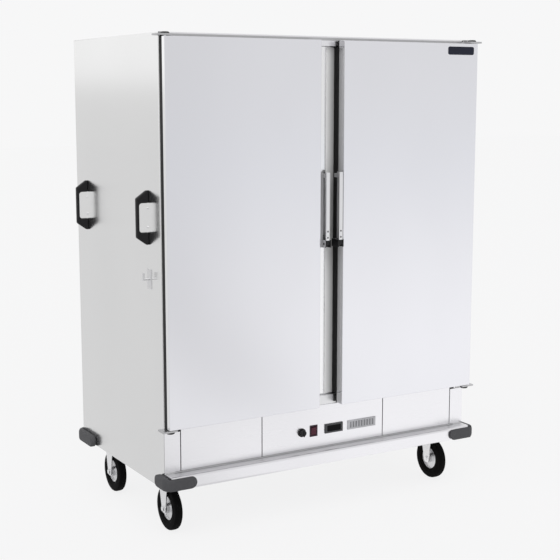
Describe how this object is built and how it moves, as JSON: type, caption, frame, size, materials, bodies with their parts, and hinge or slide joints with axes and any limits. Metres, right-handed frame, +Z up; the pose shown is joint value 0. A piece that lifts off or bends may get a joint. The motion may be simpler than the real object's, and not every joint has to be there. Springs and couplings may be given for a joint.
{
  "type": "enclosed meal tray cart",
  "caption": "Enclosed heated meal tray cart: insulated steel cabinet with hinged doors and lever pulls, tray runners, push handles, corner bumpers and swivel casters.",
  "frame": {"origin": "on the floor, under the middle of the whole cart's box", "axes": "+Z up, -Y the side with the doors, +X to the right when facing the doors"},
  "size_m": [1.388, 0.838, 1.737],
  "materials": {
    "panel_steel": "satin",
    "door_steel": "satin",
    "frame_steel": "satin",
    "bright_steel": "polished",
    "hinge_steel": "satin",
    "black_plastic": "matte",
    "gloss_black": "gloss",
    "badge_black": "gloss",
    "rocker_red": "gloss",
    "grille_grey": "satin",
    "bumper_rubber": "matte",
    "seal_rubber": "matte",
    "tyre_rubber": "matte",
    "wheel_centre": "satin",
    "motor_grey": "satin",
    "heater_steel": "satin"
  },
  "bodies": {
    "cabinet": {"side_panel_left": "panel_steel", "side_panel_right": "panel_steel", "back_panel": "panel_steel", "top_panel": "frame_steel", "floor_panel": "frame_steel", "centre_partition": "frame_steel", "centre_post": "frame_steel", "latch_keeper": "black_plastic", "rack_uprights": "bright_steel", "tray_runners_left": "bright_steel", "tray_runners_right": "bright_steel", "fascia_left": "frame_steel", "fascia_right": "frame_steel", "control_panel": "frame_steel", "corner_post_covers": "frame_steel", "chassis_side_rails": "frame_steel", "chassis_end_rails": "frame_steel", "base_pan": "frame_steel", "corner_bumpers": "bumper_rubber", "caster_plates": "bright_steel", "push_handles_left": "black_plastic", "push_handles_right": "black_plastic", "handle_screws": "bright_steel", "hinge_plates": "hinge_steel", "hinge_pins": "bright_steel", "rocker_bezel": "black_plastic", "temperature_display": "gloss_black", "vent_grille": "grille_grey", "plug_hook": "bright_steel", "power_inlet": "black_plastic", "blower_motor": "motor_grey", "heating_element": "heater_steel"},
    "door_left": {"door_left_shell": "door_steel", "door_left_seal": "seal_rubber", "door_left_inner_panel": "door_steel", "door_left_latch_body": "black_plastic"},
    "door_right": {"door_right_shell": "door_steel", "door_right_seal": "seal_rubber", "door_right_inner_panel": "door_steel", "door_right_latch_body": "black_plastic", "badge_plate": "badge_black"},
    "lever_left": {"door_left_lever": "bright_steel"},
    "lever_right": {"door_right_lever": "bright_steel"},
    "swivel_front_left": {"caster_fork_front_left": "bright_steel"},
    "wheel_front_left": {"caster_tyre_front_left": "tyre_rubber", "caster_centre_front_left": "wheel_centre"},
    "swivel_front_right": {"caster_fork_front_right": "bright_steel"},
    "wheel_front_right": {"caster_tyre_front_right": "tyre_rubber", "caster_centre_front_right": "wheel_centre"},
    "swivel_back_left": {"caster_fork_back_left": "bright_steel"},
    "wheel_back_left": {"caster_tyre_back_left": "tyre_rubber", "caster_centre_back_left": "wheel_centre"},
    "swivel_back_right": {"caster_fork_back_right": "bright_steel"},
    "wheel_back_right": {"caster_tyre_back_right": "tyre_rubber", "caster_centre_back_right": "wheel_centre"},
    "knob": {"thermostat_knob": "black_plastic"},
    "rocker": {"rocker_switch": "rocker_red"},
    "blower": {"blower_wheel": "wheel_centre"}
  },
  "joints": [
    {"name": "door_left_hinge", "type": "hinge", "parent": "cabinet", "child": "door_left", "pos_m": [-0.638, -0.381, 1.064], "axis": [0, 0, -1], "range_deg": [0, 180]},
    {"name": "door_right_hinge", "type": "hinge", "parent": "cabinet", "child": "door_right", "pos_m": [0.638, -0.381, 1.064], "axis": [0, 0, 1], "range_deg": [0, 180]},
    {"name": "lever_left_pull", "type": "hinge", "parent": "door_left", "child": "lever_left", "pos_m": [-0.0275, -0.409, 1.008], "axis": [1, 0, 0], "range_deg": [0, 25], "stiffness_Nm_per_rad": 2, "springref_deg": -17.19},
    {"name": "lever_right_pull", "type": "hinge", "parent": "door_right", "child": "lever_right", "pos_m": [0.0275, -0.409, 1.008], "axis": [1, 0, 0], "range_deg": [0, 25], "stiffness_Nm_per_rad": 2, "springref_deg": -17.19},
    {"name": "swivel_front_left", "type": "hinge", "parent": "cabinet", "child": "swivel_front_left", "pos_m": [-0.584, -0.221, 0.172], "axis": [0, 0, 1], "continuous": true},
    {"name": "swivel_front_right", "type": "hinge", "parent": "cabinet", "child": "swivel_front_right", "pos_m": [0.584, -0.221, 0.172], "axis": [0, 0, 1], "continuous": true},
    {"name": "swivel_back_left", "type": "hinge", "parent": "cabinet", "child": "swivel_back_left", "pos_m": [-0.584, 0.272, 0.172], "axis": [0, 0, 1], "continuous": true},
    {"name": "swivel_back_right", "type": "hinge", "parent": "cabinet", "child": "swivel_back_right", "pos_m": [0.584, 0.272, 0.172], "axis": [0, 0, 1], "continuous": true},
    {"name": "wheel_front_left", "type": "hinge", "parent": "swivel_front_left", "child": "wheel_front_left", "pos_m": [-0.584, -0.251, 0.08], "axis": [1, 0, 0], "continuous": true},
    {"name": "wheel_front_right", "type": "hinge", "parent": "swivel_front_right", "child": "wheel_front_right", "pos_m": [0.584, -0.251, 0.08], "axis": [1, 0, 0], "continuous": true},
    {"name": "wheel_back_left", "type": "hinge", "parent": "swivel_back_left", "child": "wheel_back_left", "pos_m": [-0.584, 0.242, 0.08], "axis": [1, 0, 0], "continuous": true},
    {"name": "wheel_back_right", "type": "hinge", "parent": "swivel_back_right", "child": "wheel_back_right", "pos_m": [0.584, 0.242, 0.08], "axis": [1, 0, 0], "continuous": true},
    {"name": "thermostat_turn", "type": "hinge", "parent": "cabinet", "child": "knob", "pos_m": [-0.097, -0.363, 0.309], "axis": [0, 1, 0], "range_deg": [0, 270]},
    {"name": "rocker_tip", "type": "hinge", "parent": "cabinet", "child": "rocker", "pos_m": [-0.046, -0.355, 0.309], "axis": [-1, 0, 0], "range_deg": [0, 14]},
    {"name": "blower_spin", "type": "hinge", "parent": "cabinet", "child": "blower", "pos_m": [0, -0.053, 0.316], "axis": [0, 1, 0], "continuous": true}
  ]
}
